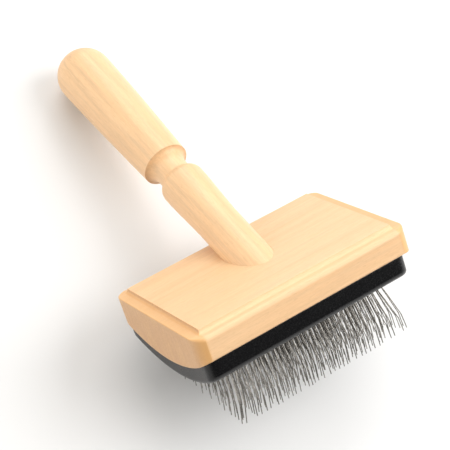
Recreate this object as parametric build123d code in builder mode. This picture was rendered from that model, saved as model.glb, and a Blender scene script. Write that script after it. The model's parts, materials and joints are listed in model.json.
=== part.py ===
# Slicker brush for grooming pets. A wooden head and a turned handle, and under the
# head a black plastic housing that holds a cushion, a cloth foundation and rows of
# bent wire pins.
#
# Every piece is drawn in the head's own frame: X along the head, Y back towards the
# handle, Z up, origin at the middle of the head's flat top. At the end the whole
# brush is set down on the surface it lies on, on its back row of pins and its butt.
from build123d import *
from collections import namedtuple
from math import asin, atan2, cos, degrees, hypot, radians, sin, sqrt, tan
import os

# Head, wood
head_length = 110.0
head_width = 79.4
edge_height = 11.4          # straight side below the moulding
head_swell = 9.3            # how far the underside swells at mid width
corner_cut = 4.8            # rounded corner, measured along the front
corner_reach = 6.7          # rounded corner, measured along the end
moulding_width = 5.4
moulding_drop = 2.0
cove_radius = 1.8
arris_radius = 0.5
lower_arris_radius = 0.6

# Handle, wood, turned in one piece. Stations are measured from the head's top.
handle_back = 10.4          # where the handle's axis leaves the head's top
handle_angle = 30.0         # between the handle and the head's top
barrel_root_radius = 9.9
barrel_end_radius = 11.0
barrel_length = 49.2
shoulder_length = 4.2
neck_radius = 7.9
neck_length = 5.2
cove_length = 6.0
rim_radius = 11.5
grip_length = 72.6
butt_radius = 13.85
stub_depth = 20.0
stub_chamfer = 0.8
socket_clearance = 0.05

# Housing, black plastic
housing_end_inset = 3.1
housing_side_inset = 0.1
housing_shift = -1.4        # how far off the head's middle it is fixed, along the head
housing_edge_depth = 9.2
housing_swell = 9.1
housing_corner_radius = 5.0
housing_wall = 2.6
housing_web = 1.5           # between the wood and the pocket
housing_edge_round = 2.2

# Layers in the housing
cushion_thickness = 1.46    # at mid width, where it is thinnest
foundation_thickness = 1.6
foundation_recess = 0.4     # below the rim, along the two long sides
layer_clearance = 0.15

# Pins: U-shaped wire staples, each of which makes two pins
wire_diameter = 0.45
pin_spacing = 2.4
row_pitch = 3.4
row_count = 18
staples_in_row = 17
pin_lean = 9.0              # away from the handle, before the knee
pin_straight = 18.2         # from the foundation to the knee
pin_bent = 7.8              # from the knee to the tip
knee_angle = 24.0
knee_radius = 2.0
crown_radius = 0.7

# Screws
housing_screw_diameter = 3.0
housing_screw_length = 11.0
housing_screw_head = 5.6
housing_screw_spread_x = 40.0
housing_screw_lean = 17.0   # degrees round the arch, each way from the middle
handle_screw_diameter = 4.0
handle_screw_length = 16.0
handle_screw_head = 7.6
screw_tip_length = 3.0
screw_sink = 0.3            # how far a screw's head lies below the face it is driven into
screw_slot_share = 0.7      # slot length over head diameter
screw_slot_width = 0.8
screw_slot_depth = 0.9

# Cutting shapes reach this far past what they cut
cut_margin = 1.0

# An arch is a circle across the head, given by its centre's height and its radius.
Arch = namedtuple("Arch", "centre radius")


def arch_through(half_width, edge_z, middle_z):
    """Arch that passes a low middle and two higher edges."""
    swell = edge_z - middle_z
    radius = half_width**2 / (2 * swell) + swell / 2
    return Arch(middle_z + radius, radius)


def arch_z(arch, y):
    """Height of an arch at a place across the head."""
    return arch.centre - sqrt(arch.radius**2 - y**2)


def arch_line(arch, half_width):
    """The arch as a line across the head."""
    edge_z = arch_z(arch, half_width)
    return ThreePointArc((-half_width, edge_z), (0, arch_z(arch, 0)), (half_width, edge_z))


def raised(arch, distance):
    """The arch a given distance nearer to its centre."""
    return Arch(arch.centre, arch.radius - distance)


block_edge_z = -moulding_drop - edge_height
block_under = arch_through(head_width / 2, block_edge_z, block_edge_z - head_swell)
block_bottom_z = arch_z(block_under, 0)

housing_length = head_length - 2 * housing_end_inset
housing_width = head_width - 2 * housing_side_inset
housing_edge_z = block_edge_z - housing_edge_depth
housing_under = arch_through(housing_width / 2, housing_edge_z, housing_edge_z - housing_swell)
pocket_length = housing_length - 2 * housing_wall
pocket_width = housing_width - 2 * housing_wall
cushion_back = raised(block_under, -housing_web)
cushion_middle_z = arch_z(cushion_back, 0) - cushion_thickness
foundation_middle_z = cushion_middle_z - wire_diameter - foundation_thickness
foundation_edge_z = arch_z(housing_under, pocket_width / 2) + foundation_recess
foundation_face = arch_through(pocket_width / 2, foundation_edge_z, foundation_middle_z)
foundation_back = raised(foundation_face, foundation_thickness)
cushion_face = raised(foundation_back, wire_diameter)
pocket_corner_radius = housing_corner_radius - housing_wall
layer_length = pocket_length - 2 * layer_clearance
layer_width = pocket_width - 2 * layer_clearance
layer_corner_radius = pocket_corner_radius - layer_clearance

handle_direction = Vector(0, cos(radians(handle_angle)), sin(radians(handle_angle)))
handle_across = Vector(0, -sin(radians(handle_angle)), cos(radians(handle_angle)))
handle_root = Vector(0, handle_back, 0)
handle_cross_plane = Plane(handle_root, x_dir=(1, 0, 0), z_dir=handle_direction)
handle_profile_plane = Plane(handle_root, x_dir=(1, 0, 0), z_dir=handle_across)
handle_axis = Axis(handle_root, handle_direction)
straight_root = barrel_root_radius / tan(radians(handle_angle))
shoulder_station = barrel_length + shoulder_length
cove_station = shoulder_station + neck_length
rim_station = cove_station + cove_length
butt_station = rim_station + grip_length


def moulding_waste(half_span):
    """What the moulding takes off along the two edges of a section of the head."""
    outside = half_span + cut_margin
    with BuildSketch() as waste:
        with BuildLine():
            wall_x = half_span - moulding_width
            quirk = Line((wall_x, cut_margin), (wall_x, cove_radius - moulding_drop))
            cove = JernArc(quirk @ 1, (0, -1), cove_radius, 90)
            Polyline(cove @ 1, (outside, -moulding_drop), (outside, cut_margin), quirk @ 0)
        make_face()
        mirror(about=Plane.YZ)
    return waste.sketch


def arched_slab(length, width, corner_radius, upper, lower):
    """Slab with a rounded plan between two arches, in the middle of the housing."""
    low_z = arch_z(lower, 0) - cut_margin
    high_z = arch_z(upper, width / 2) + cut_margin
    edge = width / 2 + cut_margin
    with BuildPart() as slab:
        with BuildSketch(Plane.XY.offset(low_z)):
            with Locations((housing_shift, 0)):
                RectangleRounded(length, width, corner_radius)
        extrude(amount=high_z - low_z)
        with BuildSketch(Plane.YZ):
            with BuildLine():
                over = arch_line(upper, edge)
                under = arch_line(lower, edge)
                Line(over @ 0, under @ 0)
                Line(over @ 1, under @ 1)
            make_face()
        extrude(amount=head_length / 2, both=True, mode=Mode.INTERSECT)
    return slab.part


def screw(diameter, length, head_diameter):
    """Countersunk wood screw along -Z, its head's face at the origin."""
    head_height = (head_diameter - diameter) / 2
    with BuildPart() as blank:
        with BuildSketch(Plane.XZ):
            with BuildLine():
                Polyline(
                    (0, 0),
                    (head_diameter / 2, 0),
                    (diameter / 2, -head_height),
                    (diameter / 2, screw_tip_length - length),
                    (0, -length),
                    (0, 0),
                )
            make_face()
        revolve(axis=Axis.Z)
    return blank.part


def screw_hole(blank, head_diameter):
    """What a sunk screw takes out of the pieces it goes through."""
    with BuildPart() as hole:
        add(blank)
        with BuildSketch():
            Circle(head_diameter / 2)
        extrude(amount=2 * screw_sink)
    return hole.part


def slotted(blank, head_diameter):
    """The same screw with a driver slot across its head."""
    with BuildPart() as finished:
        add(blank)
        with BuildSketch():
            Rectangle(head_diameter * screw_slot_share, screw_slot_width)
            Rectangle(screw_slot_width, head_diameter * screw_slot_share)
        extrude(amount=-screw_slot_depth, mode=Mode.SUBTRACT)
    return finished.part


def arch_plane(arch, x, lean):
    """Plane on an arch, a number of degrees round it, whose Z points out of the pin side."""
    outwards = Vector(0, sin(radians(lean)), -cos(radians(lean)))
    middle = Vector(x, 0, arch.centre) + outwards * arch.radius
    return Plane(middle, x_dir=(-1, 0, 0), z_dir=outwards)


housing_screw_blank = screw(housing_screw_diameter, housing_screw_length, housing_screw_head)
housing_screw_hole = screw_hole(housing_screw_blank, housing_screw_head)
handle_screw_blank = screw(handle_screw_diameter, handle_screw_length, handle_screw_head)
handle_screw_hole = screw_hole(handle_screw_blank, handle_screw_head)
housing_screw_places = [
    arch_plane(raised(cushion_back, screw_sink), housing_shift + x, lean)
    for x in (-housing_screw_spread_x, 0, housing_screw_spread_x)
    for lean in (-housing_screw_lean, housing_screw_lean)
]
handle_screw_place = arch_plane(raised(block_under, screw_sink), 0, 0)

# Handle
with BuildPart() as handle:
    with BuildSketch(handle_profile_plane):
        with BuildLine():
            stub = Polyline(
                (0, -stub_depth),
                (barrel_root_radius - stub_chamfer, -stub_depth),
                (barrel_root_radius, stub_chamfer - stub_depth),
                (barrel_root_radius, straight_root),
            )
            barrel = Spline(
                stub @ 1,
                (barrel_end_radius, barrel_length),
                tangents=((0, 1), (0, 1)),
            )
            shoulder = EllipticalCenterArc(
                (neck_radius, barrel_length),
                barrel_end_radius - neck_radius,
                shoulder_length,
                start_angle=0,
                arc_size=90,
            )
            neck = Line((neck_radius, shoulder_station), (neck_radius, cove_station))
            cove = EllipticalCenterArc(
                (rim_radius, cove_station),
                rim_radius - neck_radius,
                cove_length,
                start_angle=90,
                arc_size=90,
            )
            grip = Spline(
                cove @ 0,
                (butt_radius, butt_station),
                tangents=((butt_radius - rim_radius, grip_length), (0, 1)),
            )
            butt = JernArc(grip @ 1, (0, 1), butt_radius, 90)
            Line(butt @ 1, stub @ 0)
        make_face()
    revolve(axis=handle_axis)
    with Locations(handle_screw_place):
        add(handle_screw_hole, mode=Mode.SUBTRACT)

# Head block
with BuildPart() as head_block:
    with BuildSketch(Plane.XY.offset(block_bottom_z)):
        with BuildLine():
            half_front = Line((0, head_width / 2), (head_length / 2 - corner_cut, head_width / 2))
            half_end = Line((head_length / 2, 0), (head_length / 2, head_width / 2 - corner_reach))
            TangentArc(half_end @ 1, half_front @ 1, tangent=(0, 1))
            mirror(about=Plane.XZ)
            mirror(about=Plane.YZ)
        make_face()
    extrude(amount=-block_bottom_z)
    with BuildSketch(Plane.YZ):
        with BuildLine():
            half = head_width / 2 + cut_margin
            under = arch_line(block_under, half)
            Polyline(under @ 0, (-half, cut_margin), (half, cut_margin), under @ 1)
        make_face()
    extrude(amount=head_length / 2 + cut_margin, both=True, mode=Mode.INTERSECT)
    with BuildSketch(Plane.YZ):
        add(moulding_waste(head_width / 2))
    extrude(amount=head_length / 2 + cut_margin, both=True, mode=Mode.SUBTRACT)
    with BuildSketch(Plane.XZ):
        add(moulding_waste(head_length / 2))
    extrude(amount=head_width / 2 + cut_margin, both=True, mode=Mode.SUBTRACT)
    ledge = head_block.faces().filter_by(Axis.Z).group_by(Axis.Z)[-2]
    outer_arris = ledge.edges().filter_by(
        lambda edge: abs(edge.center().X) > head_length / 2 - corner_cut
        or abs(edge.center().Y) > head_width / 2 - arris_radius
    )
    fillet(outer_arris, arris_radius)
    lower_arris = head_block.faces().sort_by(Axis.Z)[0].outer_wire().edges()
    fillet(lower_arris, lower_arris_radius)
    with BuildSketch(handle_cross_plane.offset(-stub_depth)):
        Circle(barrel_root_radius + socket_clearance)
    extrude(amount=stub_depth + straight_root, mode=Mode.SUBTRACT)
    with Locations(handle_screw_place):
        add(handle_screw_hole, mode=Mode.SUBTRACT)
    with Locations(housing_screw_places):
        add(housing_screw_hole, mode=Mode.SUBTRACT)

# Housing
with BuildPart() as pin_housing:
    add(arched_slab(housing_length, housing_width, housing_corner_radius, block_under, housing_under))
    rim = pin_housing.faces().sort_by(Axis.Z)[0].outer_wire().edges()
    fillet(rim, housing_edge_round)
    add(
        arched_slab(pocket_length, pocket_width, pocket_corner_radius, cushion_back, housing_under),
        mode=Mode.SUBTRACT,
    )
    with Locations(housing_screw_places):
        add(housing_screw_hole, mode=Mode.SUBTRACT)

# Soft layers
with BuildPart() as cushion:
    add(arched_slab(layer_length, layer_width, layer_corner_radius, cushion_back, cushion_face))

with BuildPart() as foundation:
    add(arched_slab(layer_length, layer_width, layer_corner_radius, foundation_back, foundation_face))

# Screws
with BuildPart() as handle_screw:
    with Locations(handle_screw_place):
        add(slotted(handle_screw_blank, handle_screw_head))

with BuildPart() as housing_screws:
    with Locations(housing_screw_places):
        add(slotted(housing_screw_blank, housing_screw_head))

# One staple, standing on the foundation's face with its knees bent towards +Y
with BuildPart() as staple:
    with BuildLine() as wire_path:
        half_span = pin_spacing / 2
        crown_z = -foundation_thickness - wire_diameter / 2
        tip_y = pin_bent * sin(radians(knee_angle))
        tip_z = pin_straight + pin_bent * cos(radians(knee_angle))
        FilletPolyline(
            (-half_span, tip_y, tip_z),
            (-half_span, 0, pin_straight),
            (-half_span, 0, crown_z),
            (half_span, 0, crown_z),
            (half_span, 0, pin_straight),
            (half_span, tip_y, tip_z),
            radius=(knee_radius, crown_radius, crown_radius, knee_radius),
        )
    with BuildSketch(Plane(wire_path.line @ 0, z_dir=wire_path.line % 0)):
        Circle(wire_diameter / 2)
    sweep()


def row_plane(row):
    """Plane at the foot of one row of pins, its Z along their straight part.

    The field of pins lies in the middle of the head, not of the housing.
    """
    place = row - (row_count - 1) / 2
    round_the_arch = degrees(place * row_pitch / foundation_face.radius)
    stagger = pin_spacing / 4 * (1 if row % 2 else -1)
    foot = arch_plane(foundation_face, stagger, round_the_arch)
    return Plane(foot.origin, x_dir=foot.x_dir, z_dir=foot.z_dir.rotate(Axis.X, -pin_lean))


pieces = {
    "head_block": head_block,
    "handle": handle,
    "handle_screw": handle_screw,
    "pin_housing": pin_housing,
    "housing_screws": housing_screws,
    "cushion": cushion,
    "foundation": foundation,
}
for row in range(row_count):
    with BuildPart() as pin_row:
        with Locations(row_plane(row)):
            with GridLocations(2 * pin_spacing, 0, staples_in_row, 1):
                add(staple.part)
    pieces[f"pin_row_{row + 1:02d}"] = pin_row

# Rest pose: a line under the butt's ball that also passes the tips of the back row
back_tip = row_plane(row_count - 1).from_local_coords(Vector(0, tip_y, tip_z))
butt_centre = handle_root + handle_direction * butt_station
reach_y = butt_centre.Y - back_tip.Y
reach_z = butt_centre.Z - back_tip.Z
radius_step = butt_radius - wire_diameter / 2
tilt = degrees(atan2(reach_z, reach_y) - asin(radius_step / hypot(reach_y, reach_z)))
tilted = Location((0, 0, 0), (-tilt, 0, 0))
box = Compound([piece.part.moved(tilted) for piece in pieces.values()]).bounding_box()
set_down = Location((-box.center().X, -box.center().Y, -box.min.Z)) * tilted

os.makedirs("parts", exist_ok=True)
for name, piece in pieces.items():
    piece.part = piece.part.moved(set_down)
    piece.part.label = name
    export_step(piece.part, f"parts/{name}.step")

print(f"tilt {tilt:.2f} degrees, head's top middle at {set_down.position}")
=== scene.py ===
# %% [markdown]
# # A wooden slicker brush, dressed for its portrait
#
# The brush is a pale beech head with a turned beech handle, a glossy black tray under
# the head, and a field of bent wire pins. Its pieces, sizes and places come packed from
# the design model. This lesson keeps those places and makes each piece again with the
# care that a close look needs: eased edges, turned profiles, drawn wire, varnish.

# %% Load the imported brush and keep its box
import json
from math import atan2, cos, pi, radians, sin, sqrt, tau

import bmesh
import bpy
from mathutils import Matrix, Quaternion, Vector


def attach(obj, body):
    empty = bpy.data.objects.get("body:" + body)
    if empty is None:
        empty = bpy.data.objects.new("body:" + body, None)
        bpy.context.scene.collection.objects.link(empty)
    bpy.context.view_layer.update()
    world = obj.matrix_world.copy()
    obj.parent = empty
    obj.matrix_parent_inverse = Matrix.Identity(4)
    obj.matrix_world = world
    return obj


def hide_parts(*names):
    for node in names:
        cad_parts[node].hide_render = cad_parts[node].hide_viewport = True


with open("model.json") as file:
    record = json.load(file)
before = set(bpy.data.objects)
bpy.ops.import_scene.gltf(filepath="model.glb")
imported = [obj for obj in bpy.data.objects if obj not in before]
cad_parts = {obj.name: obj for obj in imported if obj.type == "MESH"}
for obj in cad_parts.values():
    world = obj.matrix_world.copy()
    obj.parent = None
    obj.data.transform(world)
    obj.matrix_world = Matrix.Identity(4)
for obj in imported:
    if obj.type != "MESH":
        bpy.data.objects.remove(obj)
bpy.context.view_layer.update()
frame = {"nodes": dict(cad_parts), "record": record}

# %% [markdown]
# ## Two frames to draw in
#
# The brush lies tilted, on its back row of pins and the butt of its handle. Drawing a
# tilted head with plain numbers would be hopeless, so the head and the handle each get a
# frame of their own. Two mounts of the record give them: the flat top of the head, and
# the grip. In the head's frame X runs along the head, Y back and Z up out of the wood.
# In the handle's frame Z runs from the head to the butt. Both are in millimetres.

# %% Make the head's frame and the handle's frame
MM = 0.001
mounts = {mount["name"]: mount for mount in frame["record"]["mounts"]}


def frame_at(place, z_axis):
    """A frame in millimetres whose X lies along the head."""
    z_axis = Vector(z_axis).normalized()
    x_axis = Vector((1, 0, 0))
    turned = Matrix((x_axis, z_axis.cross(x_axis), z_axis)).transposed().to_4x4()
    return Matrix.Translation(place) @ turned @ Matrix.Scale(MM, 4)


head = frame_at(mounts["head_top"]["pos_m"], mounts["head_top"]["axis"])
handle_direction = head.inverted().to_3x3() @ Vector(mounts["grip"]["axis"])
grip_middle = head.inverted() @ Vector(mounts["grip"]["pos_m"])
handle_root = grip_middle - handle_direction * (grip_middle.z / handle_direction.z)
handle = frame_at(head @ handle_root, mounts["grip"]["axis"])
print("the handle leaves the head's top at", handle_root)


def measure(node, space):
    """Lowest and highest corner of a design node in one of the frames."""
    back = space.inverted()
    places = [back @ vertex.co for vertex in frame["nodes"][node].data.vertices]
    low = [min(place[axis] for place in places) for axis in range(3)]
    high = [max(place[axis] for place in places) for axis in range(3)]
    return Vector(low), Vector(high)


# %% [markdown]
# ## Camera
#
# The brush is seen from above its front left corner with a long lens, so that its edges
# stay nearly parallel. Its place, its target and its lean are all given in the head's
# frame: the head's long edge climbs to the right across the picture.

# %% Set up the camera
camera_place = Vector((-254.9, -589.6, 286.3))
camera_target = Vector((-6.2, 7.0, 17.5))
camera_roll = radians(-18.73)
camera_data = bpy.data.cameras.new("portrait_camera")
camera_data.lens = 128
camera_data.sensor_width = 36
camera_data.clip_start = 0.05
camera = bpy.data.objects.new("portrait_camera", camera_data)
bpy.context.scene.collection.objects.link(camera)
line_of_sight = camera_target - camera_place
level_aim = line_of_sight.to_track_quat("-Z", "Y")
aim = head.to_quaternion() @ level_aim @ Quaternion((0, 0, 1), camera_roll)
camera.matrix_world = Matrix.Translation(head @ camera_place) @ aim.to_matrix().to_4x4()
bpy.context.scene.camera = camera
print("the camera is", line_of_sight.length, "mm from the head")

# %% [markdown]
# ## Floor and light
#
# A plain white floor and three soft lights. The key is a large softbox on the right,
# half way up, which leaves a wide soft shadow to the left. A weaker one low on the left
# keeps the handle's far side warm, one behind the brush lights the tops, and the pale
# world lifts everything else. The world is dimmer on the camera's side, as a studio is:
# that is what the front of the glossy tray mirrors, so it stays black.

# %% Lay the floor and hang the lights


def softbox(name, place, size, power, colour=(1, 1, 1)):
    """A square area light that faces the middle of the brush."""
    light = bpy.data.lights.new(name, "AREA")
    light.shape = "SQUARE"
    light.size = size
    light.energy = power
    light.color = colour
    lamp = bpy.data.objects.new(name, light)
    lamp.location = place
    lamp.rotation_euler = (-Vector(place)).to_track_quat("-Z", "Y").to_euler()
    bpy.context.scene.collection.objects.link(lamp)
    return lamp


softbox("key_softbox", (0.8, -0.42, 0.8), 1.0, 15)
softbox("fill_softbox", (-1.2, 0.2, 0.5), 1.0, 7, (1.0, 0.98, 0.94))
softbox("top_softbox", (0.4, 0.85, 1.0), 1.0, 8.5)

world = bpy.data.worlds.new("pale_studio")
world.use_nodes = True
sky = world.node_tree
direction = sky.nodes.new("ShaderNodeSeparateXYZ")
sky.links.new(sky.nodes.new("ShaderNodeTexCoord").outputs["Generated"], direction.inputs[0])
front_to_back = sky.nodes.new("ShaderNodeMapRange")
front_to_back.interpolation_type = "SMOOTHSTEP"
for socket, value in (("From Min", -0.85), ("From Max", -0.3), ("To Min", 0.08), ("To Max", 0.68)):
    front_to_back.inputs[socket].default_value = value
sky.links.new(direction.outputs["Y"], front_to_back.inputs["Value"])
background = sky.nodes["Background"]
background.inputs["Color"].default_value = (1.0, 0.98, 0.94, 1)
sky.links.new(front_to_back.outputs["Result"], background.inputs["Strength"])
bpy.context.scene.world = world
bpy.context.scene.view_settings.view_transform = "Standard"

floor_mesh = bpy.data.meshes.new("floor")
floor_half = 3.0
floor_corners = [(x * floor_half, y * floor_half, 0) for x, y in ((-1, -1), (1, -1), (1, 1), (-1, 1))]
floor_mesh.from_pydata(floor_corners, [], [(0, 1, 2, 3)])
floor = bpy.data.objects.new("floor", floor_mesh)
bpy.context.scene.collection.objects.link(floor)

# %% [markdown]
# ## A short way to write materials
#
# Every finish below is a small node tree around one Principled shader. `Finish` holds
# the tree, makes nodes with their settings in one line, and gives the place of each
# surface point in a chosen frame, in millimetres. A pattern made there is as large on
# the brush as its numbers say, and runs along the piece however the piece lies.

# %% Helper for materials


class Finish:
    """A material under construction."""

    def __init__(self, name):
        self.material = bpy.data.materials.new(name)
        self.material.use_nodes = True
        self.tree = self.material.node_tree
        self.shader = self.tree.nodes["Principled BSDF"]

    def node(self, kind, inputs=None, **settings):
        """A new node; a linked input is given as a socket, any other as a value."""
        made = self.tree.nodes.new("ShaderNode" + kind)
        for name, value in settings.items():
            setattr(made, name, value)
        for name, value in (inputs or {}).items():
            self.feed(made.inputs[name], value)
        return made

    def feed(self, socket, value):
        """Set a socket's value, or link another socket to it."""
        if isinstance(value, bpy.types.NodeSocket):
            self.tree.links.new(value, socket)
        else:
            socket.default_value = value

    def shade(self, **inputs):
        """Set sockets of the Principled shader, named with underscores for spaces."""
        for name, value in inputs.items():
            self.feed(self.shader.inputs[name.replace("_", " ")], value)

    def place_in(self, space, scale=(1, 1, 1)):
        """Where a surface point is in a frame, in millimetres, stretched by scale."""
        back = space.inverted()
        point = self.node("TexCoord").outputs["Object"]
        turn = back.to_euler("XYZ")
        to_millimetres = self.node(
            "Mapping",
            {"Vector": point, "Location": back.translation, "Rotation": turn, "Scale": [1 / MM] * 3},
        )
        stretched = self.node("Mapping", {"Vector": to_millimetres.outputs["Vector"], "Scale": scale})
        return stretched.outputs["Vector"]

    def noise(self, place, scale, detail=3.0, roughness=0.5, distortion=0.0):
        """Fractal noise from 0 to 1."""
        made = self.node(
            "TexNoise",
            {
                "Vector": place,
                "Scale": scale,
                "Detail": detail,
                "Roughness": roughness,
                "Distortion": distortion,
            },
        )
        return made.outputs["Fac"]

    def ramp(self, value, stops):
        """Colour ramp; stops are (position, colour or grey)."""
        made = self.node("ValToRGB", {"Fac": value})
        elements = made.color_ramp.elements
        while len(elements) < len(stops):
            elements.new(0.5)
        for element, (position, colour) in zip(elements, stops):
            element.position = position
            grey = not hasattr(colour, "__len__")
            element.color = (colour, colour, colour, 1) if grey else (*colour, 1)
        return made.outputs["Color"]

    def mix(self, factor, first, second, blend="MIX"):
        """Mix two colours; either may be a socket or three numbers."""
        first, second = ((*c, 1) if isinstance(c, tuple) else c for c in (first, second))
        made = self.node("Mix", data_type="RGBA", blend_type=blend)
        self.feed(made.inputs[0], factor)
        self.feed(made.inputs[6], first)
        self.feed(made.inputs[7], second)
        return made.outputs[2]

    def math(self, operation, *values):
        """A Math node."""
        made = self.node("Math", operation=operation)
        for socket, value in zip(made.inputs, values):
            self.feed(socket, value)
        return made.outputs[0]

    def bump(self, height, distance, strength=1.0, normal=None):
        """Bump whose height of 1 is a distance in millimetres."""
        inputs = {"Height": height, "Distance": distance * MM, "Strength": strength}
        if normal is not None:
            inputs["Normal"] = normal
        return self.node("Bump", inputs).outputs["Normal"]


# %% [markdown]
# ## Varnished beech
#
# Beech is pale, tan to pinkish, with hardly any figure: soft bands a few millimetres
# wide along the grain, and thousands of short fine flecks, also along the grain. On the
# end of a board the same fibres are cut across, so they look like fine speckle, and the
# cut end drinks more varnish and turns darker, in faint bands. All of it is noise that is
# stretched along one axis of the piece. The end darkening comes from how squarely the
# surface faces along the grain. The rounded corners get a painted shade, a deeper orange.
# Past a certain place along the grain the router has opened short fibres on every side,
# so there the whole moulding takes the varnish's orange.

# %% Varnished beech


def beech(name, space, grain_axis, seed, streak_strength, routed_from, end_tint=1.0):
    """Clear varnish on beech whose grain runs along X (0) or Z (2) of a frame."""
    finish = Finish(name)
    place = finish.place_in(space)
    shifted = finish.node("Mapping", {"Vector": place, "Location": (seed * 37.0, seed * 11.0, seed * 23.0)})

    def grain(stretch):
        scale = [1.0, 1.0, 1.0]
        scale[grain_axis] = 1.0 / stretch
        stretched = finish.node("Mapping", {"Vector": shifted.outputs["Vector"], "Scale": scale})
        return stretched.outputs["Vector"]

    bands = finish.noise(grain(28), 0.14, 3, 0.55, 0.4)
    streaks = finish.noise(grain(22), 0.55, 4, 0.6, 0.2)
    fibres = finish.noise(grain(14), 3.2, 3, 0.6)
    flecks = finish.noise(grain(5), 1.7, 2, 0.5)

    base = finish.ramp(
        bands,
        [
            (0.25, (0.770, 0.485, 0.258)),
            (0.50, (0.815, 0.532, 0.298)),
            (0.75, (0.845, 0.570, 0.332)),
        ],
    )
    streaked = finish.mix(
        finish.math("MULTIPLY", finish.ramp(streaks, [(0.42, 0.0), (0.72, 1.0)]), streak_strength),
        base,
        (0.62, 0.425, 0.255),
    )
    fibred = finish.mix(
        finish.math("MULTIPLY", finish.ramp(fibres, [(0.35, 1.0), (0.60, 0.0)]), 0.16),
        streaked,
        (0.50, 0.29, 0.13),
    )
    flecked = finish.mix(
        finish.math("MULTIPLY", finish.ramp(flecks, [(0.60, 0.0), (0.70, 1.0)]), 0.20),
        fibred,
        (0.50, 0.31, 0.16),
    )

    facing = finish.node("VectorMath", operation="DOT_PRODUCT")
    finish.feed(facing.inputs[0], finish.node("NewGeometry").outputs["Normal"])
    axis_in_row = (space.to_3x3().col[grain_axis]).normalized()
    finish.feed(facing.inputs[1], axis_in_row)
    squareness = finish.math("ABSOLUTE", facing.outputs["Value"])
    end_grain = finish.ramp(squareness, [(0.55, 0.0), (0.95, 1.0)])
    # Painted shade: this mask picks the rounded corners between side and end, darkened below.
    corner = finish.ramp(squareness, [(0.12, 0.0), (0.45, 1.0), (0.80, 0.7), (0.97, 0.0)])
    speckle = finish.noise(shifted.outputs["Vector"], 1.1, 4, 0.8)
    sawn = finish.node("Mapping", {"Vector": shifted.outputs["Vector"], "Scale": (1.0, 1.0, 0.12)})
    ring_bands = finish.noise(sawn.outputs["Vector"], 0.5, 3, 0.6)
    end_tone = finish.mix(
        finish.ramp(ring_bands, [(0.35, 0.0), (0.65, 1.0)]), (0.61, 0.370, 0.175), (0.54, 0.305, 0.155)
    )
    end_colour = finish.mix(
        finish.math("MULTIPLY", finish.ramp(speckle, [(0.38, 1.0), (0.60, 0.0)]), 0.55),
        end_tone,
        (0.42, 0.215, 0.095),
    )
    ended = finish.mix(finish.math("MULTIPLY", end_grain, 0.85 * end_tint), flecked, end_colour)
    # Painted shade on the rounded corners: a deep orange-brown mixed in by the corner mask.
    corner_shaded = finish.mix(finish.math("MULTIPLY", corner, 0.65 * end_tint), ended, (0.62, 0.32, 0.11))
    along = finish.node("SeparateXYZ", {"Vector": place}).outputs[grain_axis]
    routed = finish.node(
        "MapRange",
        {
            "Value": finish.math("ABSOLUTE", along),
            "From Min": routed_from - 0.3,
            "From Max": routed_from + 0.6,
        },
    )
    on_the_sides = finish.math("SUBTRACT", 1.0, end_grain)
    opened = finish.math("MULTIPLY", routed.outputs["Result"], on_the_sides)
    stained = finish.mix(finish.math("MULTIPLY", opened, 0.45 * end_tint), corner_shaded, (0.74, 0.40, 0.14))

    cloud = finish.noise(shifted.outputs["Vector"], 0.35, 3, 0.6)
    roughness = finish.math("ADD", 0.34, finish.math("MULTIPLY", cloud, 0.16))
    fine_relief = finish.math("MULTIPLY", fibres, 0.7)
    raised_fibre = finish.math("ADD", fine_relief, finish.math("MULTIPLY", streaks, 0.5))
    finish.shade(
        Base_Color=stained,
        Roughness=roughness,
        Normal=finish.bump(raised_fibre, 0.05, 0.6),
        Specular_IOR_Level=0.3,
        Coat_Weight=0.2,
        Coat_Roughness=0.3,
        Coat_IOR=1.45,
    )
    return finish.material


moulding_width = 5.4
moulding_start = measure("head_block", head)[1].x - moulding_width
past_the_butt = 400
head_beech = beech("beech_board", head, 0, 1, 0.35, moulding_start)
handle_beech = beech("beech_dowel", handle, 2, 4, 0.75, past_the_butt, 0.35)
print("beech for", head_beech.name, "and", handle_beech.name)

# %% [markdown]
# ## Black plastic, wire, rubber cloth, foam and zinc
#
# The tray is injection moulded in gloss black: almost no colour of its own, a clear
# reflection, and a very fine ripple from the mould. The wire is drawn steel, bright but
# not polished, with streaks of handling, and its colour is painted dark as a painted
# reflection of the dark things round it. The cloth that holds the wires is faced with
# dark rubber, and its weave prints through. The foam and the screws are hidden.

# %% The other finishes


def gloss_plastic():
    """Injection-moulded gloss black."""
    finish = Finish("gloss_black_plastic")
    place = finish.place_in(head)
    ripple = finish.noise(place, 0.25, 2, 0.5)
    handling = finish.noise(place, 1.3, 4, 0.7)
    finish.shade(
        Base_Color=finish.ramp(handling, [(0.35, (0.004, 0.004, 0.0045)), (0.75, (0.007, 0.007, 0.0075))]),
        Roughness=finish.ramp(handling, [(0.30, 0.20), (0.80, 0.34)]),
        Normal=finish.bump(ripple, 0.05, 0.35),
        Specular_IOR_Level=0.32,
    )
    return finish.material


def drawn_wire():
    """Bright drawn steel, a little soiled, its colour painted dark as a painted reflection of dark
    surroundings.
    """
    finish = Finish("drawn_steel_wire")
    place = finish.place_in(head)
    soil = finish.noise(place, 0.6, 3, 0.6)
    # Painted reflection: the colour is kept dark for the dark things the wire would mirror; the noise adds
    # soiling.
    finish.shade(
        Base_Color=finish.ramp(soil, [(0.30, (0.13, 0.122, 0.11)), (0.70, (0.40, 0.38, 0.35))]),
        Metallic=1.0,
        Roughness=finish.ramp(soil, [(0.30, 0.30), (0.75, 0.16)]),
    )
    return finish.material


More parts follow.
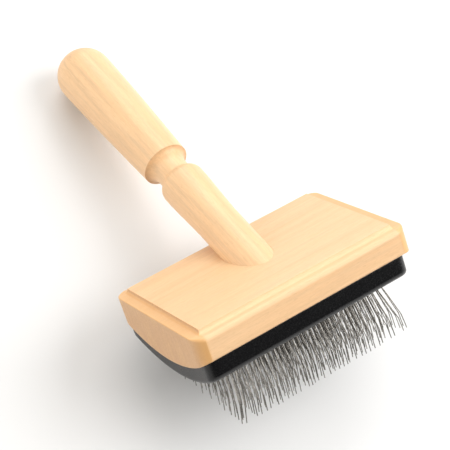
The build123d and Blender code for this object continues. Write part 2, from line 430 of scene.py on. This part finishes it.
def rubber_cloth():
    """Dark rubber over a woven cloth, the weave showing through as relief."""
    finish = Finish("rubber_faced_cloth")
    place = finish.place_in(head)
    warp = finish.node("TexWave", {"Vector": place, "Scale": 0.42, "Distortion": 0.6}, bands_direction="X")
    weft = finish.node("TexWave", {"Vector": place, "Scale": 0.42, "Distortion": 0.6}, bands_direction="Y")
    weave = finish.math("MULTIPLY", warp.outputs["Fac"], weft.outputs["Fac"])
    dust = finish.noise(place, 0.5, 4, 0.65)
    finish.shade(
        Base_Color=finish.ramp(dust, [(0.35, (0.022, 0.022, 0.024)), (0.75, (0.055, 0.053, 0.050))]),
        Roughness=finish.ramp(dust, [(0.3, 0.62), (0.8, 0.85)]),
        Normal=finish.bump(weave, 0.12, 0.8),
    )
    return finish.material


def sponge_foam():
    """Grey sponge rubber, with painted shade darkening the pits of its pores."""
    finish = Finish("sponge_foam")
    place = finish.place_in(head)
    pores = finish.node("TexVoronoi", {"Vector": place, "Scale": 1.4})
    # Painted shade: the colour is darkest in the pits of the pores, where the bump sinks.
    finish.shade(
        Base_Color=finish.ramp(
            pores.outputs["Distance"], [(0.1, (0.08, 0.08, 0.08)), (0.6, (0.30, 0.30, 0.29))]
        ),
        Roughness=0.9,
        Normal=finish.bump(pores.outputs["Distance"], 0.2, 0.8),
    )
    return finish.material


def zinc_plate():
    """Zinc-plated steel for the hidden screws."""
    finish = Finish("zinc_plate")
    mottle = finish.noise(finish.place_in(head), 1.8, 3, 0.6)
    finish.shade(
        Base_Color=finish.ramp(mottle, [(0.3, (0.50, 0.50, 0.46)), (0.7, (0.68, 0.68, 0.66))]),
        Metallic=1.0,
        Roughness=finish.ramp(mottle, [(0.3, 0.30), (0.7, 0.42)]),
    )
    return finish.material


def white_floor():
    """Plain matt white board."""
    finish = Finish("white_floor")
    finish.shade(Base_Color=(0.78, 0.78, 0.78, 1), Roughness=0.8, Specular_IOR_Level=0.1)
    return finish.material


plastic = gloss_plastic()
wire_steel = drawn_wire()
cloth = rubber_cloth()
foam = sponge_foam()
zinc = zinc_plate()
floor_mesh.materials.append(white_floor())

# %% [markdown]
# ## Skinning rings
#
# The head, the tray and the layers in it are all closed shells that can be read as a
# stack of rings, from a pole on one side over the edge to a pole on the other. Each ring
# has the same number of points, so neighbouring rings join with clean four-sided faces.
# An eased edge is a few rings close together, and a holding ring just beyond it keeps
# the flat face next to it flat in its shading.

# %% Helpers for rings
EDGE_STEPS = 6
HOLD = 0.25


def skin(name, rings, space, material, sharp=16.5):
    """A closed piece from a stack of rings, each a list of points in a frame."""
    shell = bmesh.new()
    loops = [[shell.verts.new(space @ Vector(point)) for point in ring] for ring in rings]
    count = len(loops[0])
    for ring, following in zip(loops, loops[1:]):
        for place in range(count):
            beside = (place + 1) % count
            shell.faces.new((ring[place], ring[beside], following[beside], following[place]))
    if len({vertex.co.to_tuple(6) for vertex in loops[-1]}) > 1:
        shell.faces.new(loops[-1])
    bmesh.ops.remove_doubles(shell, verts=shell.verts, dist=1e-7)
    bmesh.ops.recalc_face_normals(shell, faces=shell.faces)
    mesh = bpy.data.meshes.new(name)
    shell.to_mesh(mesh)
    shell.free()
    return finished(name, mesh, material, sharp)


def finished(name, mesh, material, sharp=16.5):
    """A piece from a mesh, smooth except where it turns by more than an angle."""
    mesh.materials.clear()
    mesh.materials.append(material)
    mesh.shade_smooth()
    mesh.set_sharp_from_angle(angle=radians(sharp))
    piece = bpy.data.objects.new(name, mesh)
    bpy.context.scene.collection.objects.link(piece)
    print(name, len(mesh.polygons), "faces")
    return piece


def quarter(steps=EDGE_STEPS):
    """Sine and cosine round a quarter turn."""
    return [(sin(pi / 2 * step / steps), cos(pi / 2 * step / steps)) for step in range(steps + 1)]


def four_quarters(corner_points):
    """A closed outline from its points between +X and +Y, both ends on the axes."""
    second = [(-x, y) for x, y in reversed(corner_points[:-1])]
    half = corner_points + second
    return half + [(-x, -y) for x, y in half[1:-1]]


def shares(steps):
    """Even steps from 0 to 1."""
    return [step / steps for step in range(steps + 1)]


class Arch:
    """A circle across the head, through two edges and a lower middle."""

    def __init__(self, half_width, edge_z, middle_z):
        swell = edge_z - middle_z
        self.radius = half_width**2 / (2 * swell) + swell / 2
        self.centre = middle_z + self.radius

    def z(self, y):
        """Height at a place across the head."""
        return self.centre - sqrt(self.radius**2 - y**2)

    def raised(self, distance):
        """The arch a distance nearer to its centre."""
        nearer = Arch.__new__(Arch)
        nearer.radius, nearer.centre = self.radius - distance, self.centre
        return nearer


# %% [markdown]
# ## The head
#
# A board of beech, sawn to a swelling underside and rounded at its corners, with a cove
# moulding routed round its top. The outline has rounded corners, but a router cuts a
# mitre where two coves meet, so the flat top is a rectangle with sharp corners. Each
# point of the outline is therefore paired with a point on a rectangle: rings near the
# side follow the outline, and rings of the moulding follow the rectangle.

# %% Shape the head
head_low, head_high = measure("head_block", head)
head_length = head_high.x - head_low.x
head_width = head_high.y - head_low.y
edge_height = 11.4
moulding_drop = 2.0
cove_radius = 1.8
corner_cut = 4.8
corner_reach = 6.7
end_arris = 0.5
front_arris = 2.2
lower_arris = 0.6
plateau_arris = 0.12
head_under = Arch(head_width / 2, -moulding_drop - edge_height, head_low.z)
print("head", head_length, "by", head_width, "mm")


def head_quarter():
    """Outline points from +X to +Y, their outward directions and their partners on a rectangle."""
    half_length, half_width = head_length / 2, head_width / 2
    corner_radius = (corner_cut**2 + corner_reach**2) / (2 * corner_cut)
    centre = Vector((half_length - corner_radius, half_width - corner_reach))
    sweep = atan2(half_width - centre.y, half_length - corner_cut - centre.x)
    points = []
    for share in shares(14)[:-1]:
        y = (half_width - corner_reach) * share
        points.append(((half_length, y), (1, 0), (1, y / half_width)))
    for share in shares(10):
        turn = sweep * share
        place = centre + Vector((cos(turn), sin(turn))) * corner_radius
        if share <= 0.5:
            partner = (1, 1 - (corner_reach / half_width) * (1 - 2 * share))
        else:
            partner = (1 - (corner_cut / half_length) * (2 * share - 1), 1)
        points.append(((place.x, place.y), (cos(turn), sin(turn)), partner))
    for share in shares(22)[1:]:
        x = (half_length - corner_cut) * (1 - share)
        points.append(((x, half_width), (0, 1), (x / half_length, 1)))
    return points


quarter_points = head_quarter()


def head_ring(inset, z):
    """Ring that follows the outline; inset and z may depend on how much the side faces front."""
    def at(point, outward):
        side = outward[1] ** 2
        step = inset(side) if callable(inset) else inset
        return point[0] - outward[0] * step, point[1] - outward[1] * step
    flat = four_quarters([at(point, outward) for point, outward, _ in quarter_points])
    sides = [outward[1] ** 2 for _, outward, _ in quarter_points]
    side_loop = sides + sides[-2::-1]
    side_loop = side_loop + side_loop[1:-1]
    return [(x, y, z(y, side) if callable(z) else z) for (x, y), side in zip(flat, side_loop)]


def moulding_ring(inset, z):
    """Ring that follows the rectangle."""
    half_length, half_width = head_length / 2 - inset, head_width / 2 - inset
    flat = four_quarters([(px * half_length, py * half_width) for _, _, (px, py) in quarter_points])
    return [(x, y, z) for x, y in flat]


def top_arris(side):
    """The front and back edges of the moulding are eased more than the ends."""
    return end_arris + (front_arris - end_arris) * side


def wall_z(y, side, share):
    """Height of a place on the straight side, from its foot (0) to its top (1)."""
    foot = head_under.z(y) + lower_arris + HOLD
    top = -moulding_drop - top_arris(side) - HOLD
    return foot + (top - foot) * share


rings = []
base = head_ring(lower_arris + HOLD, 0)
for share in (0.0, 0.15, 0.3, 0.45, 0.6, 0.72, 0.82, 0.9, 0.96, 1.0):
    rings.append([(x * share, y * share, head_under.z(y * share)) for x, y, _ in base])
for sine, cosine in quarter():
    rise = lower_arris * (1 - cosine)
    rings.append(head_ring(lower_arris * (1 - sine), lambda y, side: head_under.z(y) + rise))
for share in shares(4):
    rings.append(head_ring(0, lambda y, side: wall_z(y, side, share)))
for sine, cosine in quarter():
    rings.append(
        head_ring(
            lambda side: top_arris(side) * (1 - cosine),
            lambda y, side: -moulding_drop - top_arris(side) * (1 - sine),
        )
    )
rings.append(head_ring(lambda side: top_arris(side) + HOLD, -moulding_drop))
rings.append(moulding_ring(moulding_width - cove_radius - HOLD, -moulding_drop))
for sine, cosine in quarter(8):
    rise = cove_radius * (1 - cosine)
    rings.append(moulding_ring(moulding_width - cove_radius * (1 - sine), -moulding_drop + rise))
for sine, cosine in quarter():
    rings.append(moulding_ring(moulding_width + plateau_arris * (1 - cosine), plateau_arris * (sine - 1)))
rings.append(moulding_ring(moulding_width + plateau_arris + HOLD, 0))
head_blank = skin("head_blank", rings, head, head_beech)

# %% [markdown]
# ## The socket for the handle
#
# The handle is a dowel let into the head at an angle. The hole for it is bored, so here
# too a round cutter takes it out of the blank. It is a hair wider than the handle, which
# draws the fine line that shows where the two woods meet.

# %% Bore the socket
socket_radius = 9.95
stub_depth = 20.0
socket_reach = 30.0
cutter_mesh = bpy.data.meshes.new("socket_cutter")
cutter_shape = bmesh.new()
bmesh.ops.create_cone(
    cutter_shape,
    cap_ends=True,
    segments=128,
    radius1=socket_radius,
    radius2=socket_radius,
    depth=stub_depth + socket_reach,
)
bmesh.ops.translate(cutter_shape, verts=cutter_shape.verts, vec=(0, 0, (socket_reach - stub_depth) / 2))
cutter_shape.to_mesh(cutter_mesh)
cutter_shape.free()
cutter_mesh.transform(handle)
cutter = bpy.data.objects.new("socket_cutter", cutter_mesh)
bpy.context.scene.collection.objects.link(cutter)
boring = head_blank.modifiers.new("bore", "BOOLEAN")
boring.operation = "DIFFERENCE"
boring.solver = "EXACT"
boring.object = cutter
bored = bpy.data.meshes.new_from_object(head_blank.evaluated_get(bpy.context.evaluated_depsgraph_get()))
for scrap in (head_blank, cutter):
    bpy.data.objects.remove(scrap)
head_piece = finished("head", bored, head_beech)
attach(head_piece, "root")
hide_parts("head_block")

# %% [markdown]
# ## The handle
#
# Turned in one piece on a lathe: a straight barrel with a rounded shoulder, a narrow
# neck, a cove that flares to a crisp rim, and a long grip that swells to a round butt.
# A lathe follows one rule, so Geometry Nodes follow it too: the profile is a curve, a
# flat grid has one column for each of its points, and each column is wrapped round the
# axis at that point's radius. Changing the profile or the number of steps changes the
# turning, and nothing is modelled by hand.

# %% Draw the handle's profile
barrel_root_radius = 9.9
barrel_end_radius = 11.0
barrel_length = 49.2
shoulder_length = 4.2
neck_radius = 7.9
neck_length = 5.2
cove_length = 6.0
rim_radius = 11.5
butt_radius = measure("handle", handle)[1].x
butt_end = measure("handle", handle)[1].z
cove_station = barrel_length + shoulder_length + neck_length
rim_station = cove_station + cove_length
butt_station = butt_end - butt_radius
straight_root = 17.1


def ease(share):
    """From 0 to 1 with no slope at either end."""
    return share * share * (3 - 2 * share)


profile = [(0, -stub_depth), (barrel_root_radius - 0.8, -stub_depth), (barrel_root_radius, 0.8 - stub_depth)]
profile += [(barrel_root_radius, straight_root * share) for share in shares(4)]
profile += [
    (
        barrel_root_radius + (barrel_end_radius - barrel_root_radius) * ease(share),
        straight_root + (barrel_length - straight_root) * share,
    )
    for share in shares(12)[1:]
]
profile += [
    (neck_radius + (barrel_end_radius - neck_radius) * cosine, barrel_length + shoulder_length * sine)
    for sine, cosine in quarter(12)[1:]
]
profile += [(neck_radius, cove_station)]
profile += [
    (rim_radius - (rim_radius - neck_radius) * cosine, cove_station + cove_length * sine)
    for sine, cosine in quarter(12)[1:]
]
profile += [
    (
        rim_radius + (butt_radius - rim_radius) * (1 - (1 - share) ** 1.35),
        rim_station + (butt_station - rim_station) * share,
    )
    for share in shares(16)[1:]
]
profile += [(butt_radius * cosine, butt_station + butt_radius * sine) for sine, cosine in quarter(14)[1:]]
print("the profile has", len(profile), "points")

# %% Build the lathe and turn the handle


class Tree:
    """A Geometry Nodes tree under construction, with named inputs."""

    def __init__(self, name):
        self.group = bpy.data.node_groups.new(name, "GeometryNodeTree")
        self.group.interface.new_socket("Geometry", in_out="INPUT", socket_type="NodeSocketGeometry")
        self.group.interface.new_socket("Geometry", in_out="OUTPUT", socket_type="NodeSocketGeometry")
        self.start = self.group.nodes.new("NodeGroupInput")
        self.end = self.group.nodes.new("NodeGroupOutput")
        self.sockets = {}

    def input(self, name, kind, default=None):
        """A named input, whose socket is returned."""
        socket = self.group.interface.new_socket(name, in_out="INPUT", socket_type="NodeSocket" + kind)
        if default is not None:
            socket.default_value = default
        self.sockets[name] = socket.identifier
        return self.start.outputs[name]

    def node(self, kind, inputs=None, **settings):
        """A new node; a linked input is given as a socket, any other as a value."""
        made = self.group.nodes.new(kind)
        for name, value in settings.items():
            setattr(made, name, value)
        for name, value in (inputs or {}).items():
            socket = made.inputs[name]
            if isinstance(value, bpy.types.NodeSocket):
                self.group.links.new(value, socket)
            else:
                socket.default_value = value
        return made

    def math(self, operation, *values):
        """A Math node."""
        return self.node("ShaderNodeMath", dict(enumerate(values)), operation=operation).outputs[0]

    def finish(self, geometry, material):
        """End the tree: real geometry, with its material."""
        real = self.node("GeometryNodeRealizeInstances", {"Geometry": geometry}).outputs["Geometry"]
        painted = self.node("GeometryNodeSetMaterial", {"Geometry": real, "Material": material})
        self.group.links.new(painted.outputs["Geometry"], self.end.inputs[0])

    def run(self, blank, name, values):
        """Mesh that the tree makes from an object, with its inputs set by identifier."""
        modifier = blank.modifiers.new(self.group.name, "NODES")
        modifier.node_group = self.group
        for label, value in values.items():
            modifier[self.sockets[label]] = value
        depsgraph = bpy.context.evaluated_depsgraph_get()
        mesh = bpy.data.meshes.new_from_object(blank.evaluated_get(depsgraph))
        blank.modifiers.remove(modifier)
        mesh.name = name
        return mesh


def drawn_curve(name, points):
    """A curve object with one straight-sided spline."""
    curve = bpy.data.curves.new(name, "CURVE")
    curve.dimensions = "3D"
    spline = curve.splines.new("POLY")
    spline.points.add(len(points) - 1)
    for knot, point in zip(spline.points, points):
        knot.co = (*point, 1)
    drawn = bpy.data.objects.new(name, curve)
    bpy.context.scene.collection.objects.link(drawn)
    return drawn


def lathe():
    """Tree that turns a profile, drawn as X for radius and Z for station, round Z."""
    tree = Tree("lathe")
    columns = tree.input("Profile points", "Int", 2)
    steps = tree.input("Steps round", "Int", 96)
    material = tree.input("Material", "Material")
    grid = tree.node(
        "GeometryNodeMeshGrid",
        {
            "Size X": 1.0,
            "Size Y": 1.0,
            "Vertices X": columns,
            "Vertices Y": tree.math("ADD", steps, 1),
        },
    )
    place = tree.node("ShaderNodeSeparateXYZ", {0: tree.node("GeometryNodeInputPosition").outputs[0]})
    across = tree.math("ADD", place.outputs[0], 0.5)
    column = tree.math("ROUND", tree.math("MULTIPLY", across, tree.math("SUBTRACT", columns, 1)))
    turn = tree.math("MULTIPLY", tree.math("ADD", place.outputs[1], 0.5), tau)
    sample = tree.node("GeometryNodeSampleIndex", data_type="FLOAT_VECTOR", domain="POINT", clamp=True)
    tree.group.links.new(tree.start.outputs[0], sample.inputs["Geometry"])
    tree.group.links.new(tree.node("GeometryNodeInputPosition").outputs[0], sample.inputs["Value"])
    tree.group.links.new(column, sample.inputs["Index"])
    drawn = tree.node("ShaderNodeSeparateXYZ", {0: sample.outputs[0]})
    wrapped = tree.node(
        "ShaderNodeCombineXYZ",
        {
            "X": tree.math("MULTIPLY", drawn.outputs[0], tree.math("COSINE", turn)),
            "Y": tree.math("MULTIPLY", drawn.outputs[0], tree.math("SINE", turn)),
            "Z": drawn.outputs[2],
        },
    )
    turned = tree.node(
        "GeometryNodeSetPosition", {"Geometry": grid.outputs["Mesh"], "Position": wrapped.outputs[0]}
    )
    closed = tree.node("GeometryNodeMergeByDistance", {"Geometry": turned.outputs[0], "Distance": 0.001})
    tree.finish(closed.outputs[0], material)
    return tree


profile_curve = drawn_curve("handle_profile", [(radius, 0, station) for radius, station in profile])
handle_mesh = lathe().run(
    profile_curve,
    "handle",
    {"Profile points": len(profile), "Steps round": 96, "Material": handle_beech},
)
bpy.data.objects.remove(profile_curve)
turning = bmesh.new()
turning.from_mesh(handle_mesh)
turning.transform(handle)
bmesh.ops.recalc_face_normals(turning, faces=turning.faces)
turning.to_mesh(handle_mesh)
turning.free()
handle_piece = finished("turned_handle", handle_mesh, handle_beech, 30)
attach(handle_piece, "root")
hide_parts("handle")

# %% [markdown]
# ## The black tray
#
# One plastic moulding: a web that lies against the wood, a rim round it and a pocket
# open to the pins. Every wall follows the swell of the head. The rings run from the
# middle of the web's back, out over the rim with its soft outer edge, into the pocket
# and back to the middle of the web's face.

# %% Mould the tray
tray_low, tray_high = measure("pin_housing", head)
tray_length = tray_high.x - tray_low.x
tray_width = tray_high.y - tray_low.y
tray_corner = 5.0
tray_middle = (tray_high.x + tray_low.x) / 2
tray_wall = 2.6
tray_web = 1.5
tray_edge_round = 2.2
tray_lip_round = 0.3
tray_top_round = 0.25
tray_edge_depth = 9.2
tray_under = Arch(tray_width / 2, -moulding_drop - edge_height - tray_edge_depth, tray_low.z)
pocket_side = tray_width / 2 - tray_wall
foam_thickness = 1.46
cloth_thickness = 1.6
wire_diameter = 0.45
layer_gap = 0.15
foam_back = head_under.raised(-tray_web)
cloth_middle = foam_back.z(0) - foam_thickness - wire_diameter - cloth_thickness
cloth_face = Arch(pocket_side, tray_under.z(pocket_side) + 0.4, cloth_middle)
cloth_back = cloth_face.raised(cloth_thickness)
foam_face = cloth_back.raised(wire_diameter)
print("the tray sits", tray_middle, "mm off the head's middle")


def rounded_ring(length, width, corner, height):
    """Ring on a rectangle with rounded corners; height gives z at each y."""
    corner = max(corner, 0.3)
    half_length, half_width = length / 2, width / 2
    points = [(half_length, (half_width - corner) * share) for share in shares(16)[:-1]]
    points += [
        (half_length - corner * (1 - cosine), half_width - corner * (1 - sine)) for sine, cosine in quarter(10)
    ]
    points += [((half_length - corner) * (1 - share), half_width) for share in shares(22)[1:]]
    return [(tray_middle + x, y, height(y)) for x, y in four_quarters(points)]


def shrunk(ring, share, height):
    """The same ring drawn in towards the middle, laid on an arch."""
    return [(tray_middle + (x - tray_middle) * share, y * share, height(y * share)) for x, y, _ in ring]


def layer(name, length, width, corner, upper, lower, edge, material):
    """A slab between two arches with an eased edge all round."""
    rings = []
    inner_low = rounded_ring(length - 2 * edge, width - 2 * edge, corner - edge, lower.z)
    for share in shares(12):
        rings.append(shrunk(inner_low, share, lower.z))

    def eased(inset, height):
        return rounded_ring(length - 2 * inset, width - 2 * inset, corner - inset, height)

    for sine, cosine in quarter(4)[1:]:
        rings.append(eased(edge * (1 - sine), lambda y: lower.z(y) + edge * (1 - cosine)))
    for sine, cosine in reversed(quarter(4)[1:]):
        rings.append(eased(edge * (1 - sine), lambda y: upper.z(y) - edge * (1 - cosine)))
    inner_high = rounded_ring(length - 2 * edge, width - 2 * edge, corner - edge, upper.z)
    for share in reversed(shares(6)):
        rings.append(shrunk(inner_high, share, upper.z))
    return skin(name, rings, head, material)


def tray_ring(inset, height):
    """Ring at an inset from the tray's outside."""
    return rounded_ring(tray_length - 2 * inset, tray_width - 2 * inset, tray_corner - inset, height)


def tray_wall_z(y, share):
    """Height of a place on the outer wall, from its top (0) to its foot (1)."""
    top = head_under.z(y) - tray_top_round - HOLD
    foot = tray_under.z(y) + tray_edge_round + HOLD
    return top + (foot - top) * share


rings = []
top_edge = tray_ring(tray_top_round + HOLD, head_under.z)
for share in shares(6):
    rings.append(shrunk(top_edge, share, head_under.z))
for sine, cosine in quarter(3):
    drop = tray_top_round * (1 - cosine)
    rings.append(tray_ring(tray_top_round * (1 - sine), lambda y: head_under.z(y) - drop))
for share in shares(3):
    rings.append(tray_ring(0, lambda y: tray_wall_z(y, share)))
for sine, cosine in quarter(8):
    rings.append(
        tray_ring(tray_edge_round * (1 - cosine), lambda y: tray_under.z(y) + tray_edge_round * (1 - sine))
    )
for sine, cosine in quarter(4):
    rise = tray_lip_round * (1 - cosine)
    rings.append(tray_ring(tray_wall - tray_lip_round * (1 - sine), lambda y: tray_under.z(y) + rise))
rings.append(tray_ring(tray_wall, lambda y: tray_under.z(y) + tray_lip_round + HOLD))
rings.append(tray_ring(tray_wall, foam_back.z))
web = tray_ring(tray_wall + HOLD, foam_back.z)
for share in reversed(shares(6)):
    rings.append(shrunk(web, share, foam_back.z))
tray = skin("black_tray", rings, head, plastic)
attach(tray, "root")
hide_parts("pin_housing")

# %% [markdown]
# ## Foam and rubber cloth
#
# In the pocket lies a sheet of sponge foam, then the cloth that the wires are stuck
# through, faced with rubber on the pin side. Both are cut to the pocket and follow the
# swell. The foam is stuffed full into its place and the cloth is stretched over it.

# %% Lay the foam and the cloth
pocket_length = tray_length - 2 * (tray_wall + layer_gap)
pocket_width = tray_width - 2 * (tray_wall + layer_gap)
pocket_corner = tray_corner - tray_wall - layer_gap
foam_piece = layer(
    "sponge_layer", pocket_length, pocket_width, pocket_corner, foam_back.raised(-0.05), foam_face, 0.6, foam
)
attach(foam_piece, "root")
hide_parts("cushion")
cloth_piece = layer(
    "rubber_faced_sheet", pocket_length, pocket_width, pocket_corner, cloth_back, cloth_face, 0.35, cloth
)
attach(cloth_piece, "root")
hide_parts("foundation")

# %% [markdown]
# ## The pins
#
# Each pin is one leg of a U of wire, pushed through the cloth from behind: two legs, a
# crown between them, and a knee in each leg that bends the tip back towards the handle.
# Eighteen rows of seventeen staples follow the swell of the cloth, every second row set
# over by half a pin. Like the teeth of a carding comb they stand a little away from the
# handle up to the knee. One staple is drawn as a curve. Geometry Nodes set out a row of
# them, turn each a little at random as a machine and a summer of use would, bend every
# leg its own small way in proportion to its height, sway neighbours together so that
# tufts and gaps form, splay the last few pins at each end of the front rows, and give
# the wire its thickness. The tree runs once for each row, with its own seed.

# %% Draw one staple
pin_spacing = 2.4
row_pitch = 3.4
row_count = 18
staples_in_row = 17
pin_lean = radians(9)
pin_straight = 18.2
pin_bent = 7.8
knee_angle = radians(24)
knee_radius = 2.0
crown_radius = 0.7


def staple_points():
    """One leg from tip to crown, and the other back again."""
    half_span = pin_spacing / 2
    knee_reach = knee_radius * sin(knee_angle / 2) / cos(knee_angle / 2)
    tip = (pin_bent * sin(knee_angle), pin_straight + pin_bent * cos(knee_angle))
    knee_centre = (knee_radius, pin_straight - knee_reach)
    leg = [tip]
    for share in reversed(shares(3)):
        bend = knee_angle * share
        leg.append((knee_centre[0] - knee_radius * cos(bend), knee_centre[1] + knee_radius * sin(bend)))
    leg += [(0, pin_straight * 0.45), (0, -cloth_thickness - wire_diameter / 2 + crown_radius)]
    left = [(-half_span, y, z) for y, z in leg]
    left.append((crown_radius - half_span, 0, -cloth_thickness - wire_diameter / 2))
    return left + [(-x, y, z) for x, y, z in reversed(left)]


staple = drawn_curve("staple", staple_points())
print("a staple is drawn with", len(staple.data.splines[0].points), "points")

# %% Build the tree that sets out one row of pins


def bristle_row():
    """Tree that makes one row of wire staples from the curve of one."""
    tree = Tree("row_of_staples")
    count = tree.input("Staples", "Int", 17)
    pitch = tree.input("Pitch", "Float", 4.8)
    wire = tree.input("Wire diameter", "Float", 0.45)
    height = tree.input("Pin height", "Float", 21.0)
    splay = tree.input("Splay at the ends", "Float", 0.15)
    unsteadiness = tree.input("Unsteadiness", "Float", 0.025)
    leg_wander = tree.input("Leg wander", "Float", 0.5)
    sway = tree.input("Sway", "Float", 2.0)
    sway_place = tree.input("Sway place", "Float", 0.0)
    seed = tree.input("Seed", "Int", 0)
    material = tree.input("Material", "Material")

    here = tree.node("GeometryNodeInputPosition").outputs[0]
    parts = tree.node("ShaderNodeSeparateXYZ", {0: here})
    rise = tree.math("MAXIMUM", tree.math("DIVIDE", parts.outputs[2], height), 0.0)
    noted = tree.start.outputs[0]
    for name, value in (("rise", rise), ("leg", tree.math("GREATER_THAN", parts.outputs[0], 0.0))):
        note = tree.node(
            "GeometryNodeStoreNamedAttribute",
            {"Geometry": noted, "Name": name, "Value": value},
            data_type="FLOAT",
            domain="POINT",
        )
        noted = note.outputs[0]

    half_row = tree.math("MULTIPLY", tree.math("SUBTRACT", count, 1), tree.math("MULTIPLY", pitch, 0.5))
    line_start = tree.node("ShaderNodeCombineXYZ", {"X": tree.math("MULTIPLY", half_row, -1.0)})
    line_step = tree.node("ShaderNodeCombineXYZ", {"X": pitch})
    line = tree.node(
        "GeometryNodeMeshLine",
        {"Count": count, "Start Location": line_start.outputs[0], "Offset": line_step.outputs[0]},
    )
    along = tree.math("DIVIDE", parts.outputs[0], half_row)
    shake = tree.node("FunctionNodeRandomValue", {"Seed": seed}, data_type="FLOAT_VECTOR")
    shake.inputs["Min"].default_value = (-1, -1, -1)
    shake.inputs["Max"].default_value = (1, 1, 1)
    scaled = tree.node("ShaderNodeVectorMath", {0: shake.outputs[0]}, operation="SCALE")
    tree.group.links.new(unsteadiness, scaled.inputs["Scale"])
    fanned = tree.math("MULTIPLY", tree.math("POWER", along, 5.0), splay)
    fan = tree.node("ShaderNodeCombineXYZ", {"Y": fanned})
    turn = tree.node("ShaderNodeVectorMath", {0: scaled.outputs[0], 1: fan.outputs[0]}, operation="ADD")
    set_out = tree.node(
        "GeometryNodeInstanceOnPoints",
        {"Points": line.outputs[0], "Instance": noted, "Rotation": turn.outputs[0]},
    )
    number = tree.node("GeometryNodeInputIndex").outputs[0]
    numbered = tree.node(
        "GeometryNodeStoreNamedAttribute",
        {"Geometry": set_out.outputs[0], "Name": "staple", "Value": number},
        data_type="FLOAT",
        domain="INSTANCE",
    )
    real = tree.node("GeometryNodeRealizeInstances", {"Geometry": numbered.outputs[0]})

    def noted_value(name):
        return tree.node("GeometryNodeInputNamedAttribute", {"Name": name}, data_type="FLOAT").outputs[0]

    own_number = tree.math("ADD", tree.math("MULTIPLY", noted_value("staple"), 2.0), noted_value("leg"))
    wander = tree.node("FunctionNodeRandomValue", {"ID": own_number}, data_type="FLOAT_VECTOR")
    wander.inputs["Min"].default_value = (-1, -1, -0.25)
    wander.inputs["Max"].default_value = (1, 1, 0.25)
    tree.group.links.new(tree.math("ADD", seed, 100), wander.inputs["Seed"])
    growth = tree.math("POWER", noted_value("rise"), 1.8)
    drift = tree.node("ShaderNodeVectorMath", {0: wander.outputs[0]}, operation="SCALE")
    tree.group.links.new(tree.math("MULTIPLY", growth, leg_wander), drift.inputs["Scale"])
    bent = tree.node("GeometryNodeSetPosition", {"Geometry": real.outputs[0], "Offset": drift.outputs[0]})
    gust = tree.node(
        "ShaderNodeTexNoise",
        {
            "Vector": tree.node("ShaderNodeCombineXYZ", {"X": parts.outputs[0]}).outputs[0],
            "W": sway_place,
            "Scale": 0.14,
            "Detail": 2.0,
        },
        noise_dimensions="4D",
    )
    centred = tree.node("ShaderNodeVectorMath", {0: gust.outputs["Color"]}, operation="SUBTRACT")
    centred.inputs[1].default_value = (0.5, 0.5, 0.5)
    lean = tree.node("ShaderNodeVectorMath", {0: centred.outputs[0]}, operation="MULTIPLY")
    lean.inputs[1].default_value = (1.0, 1.0, 0.0)
    leaning = tree.node("ShaderNodeVectorMath", {0: lean.outputs[0]}, operation="SCALE")
    tree.group.links.new(tree.math("MULTIPLY", growth, sway), leaning.inputs["Scale"])
    bent = tree.node("GeometryNodeSetPosition", {"Geometry": bent.outputs[0], "Offset": leaning.outputs[0]})
    section = tree.node(
        "GeometryNodeCurvePrimitiveCircle", {"Resolution": 6, "Radius": tree.math("MULTIPLY", wire, 0.5)}
    )
    drawn = tree.node(
        "GeometryNodeCurveToMesh",
        {"Curve": bent.outputs[0], "Profile Curve": section.outputs[0], "Fill Caps": True},
    )
    smooth = tree.node("GeometryNodeSetShadeSmooth", {"Geometry": drawn.outputs[0]})
    tree.finish(smooth.outputs[0], material)
    return tree


# %% Set out the rows on the cloth
front_splay = 0.2
splayed_rows = 8
sway_drift = 0.25
row_tree = bristle_row()
pin_total = 0
for row in range(row_count):
    turn = (row - (row_count - 1) / 2) * row_pitch / cloth_face.radius
    stagger = pin_spacing / 4 * (1 if row % 2 else -1)
    foot = Vector((stagger, 0, cloth_face.centre))
    foot += Vector((0, sin(turn), -cos(turn))) * cloth_face.radius
    stand = Vector((0, sin(turn - pin_lean), -cos(turn - pin_lean)))
    across = Vector((-1, 0, 0))
    row_frame = Matrix((across, stand.cross(across), stand)).transposed().to_4x4()
    row_frame.translation = foot
    row_mesh = row_tree.run(
        staple,
        f"row_{row + 1:02d}",
        {
            "Staples": staples_in_row,
            "Pitch": 2 * pin_spacing,
            "Wire diameter": wire_diameter,
            "Pin height": pin_straight + pin_bent,
            "Splay at the ends": front_splay * max(0, 1 - row / splayed_rows),
            "Unsteadiness": 0.03,
            "Leg wander": 0.6,
            "Sway": 5.0,
            "Sway place": sway_drift * row,
            "Seed": row * 7 + 3,
            "Material": wire_steel,
        },
    )
    row_mesh.transform(head @ row_frame)
    # A tip that would dip below the floor lies on it instead.
    for vertex in row_mesh.vertices:
        vertex.co.z = max(vertex.co.z, 0)
    pins = bpy.data.objects.new(f"wire_pins_{row + 1:02d}", row_mesh)
    bpy.context.scene.collection.objects.link(pins)
    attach(pins, "root")
    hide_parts(f"pin_row_{row + 1:02d}")
    pin_total += len(row_mesh.polygons)
bpy.data.objects.remove(staple)
print("the pins have", pin_total, "faces")

# %% [markdown]
# ## The hidden screws
#
# Six screws hold the tray and one locks the handle. Nobody sees them once the brush is
# together, so the design's own shapes stay and only get their zinc.

# %% Plate the screws
for node in ("housing_screws", "handle_screw"):
    screws = frame["nodes"][node]
    screws.data.materials.clear()
    screws.data.materials.append(zinc)
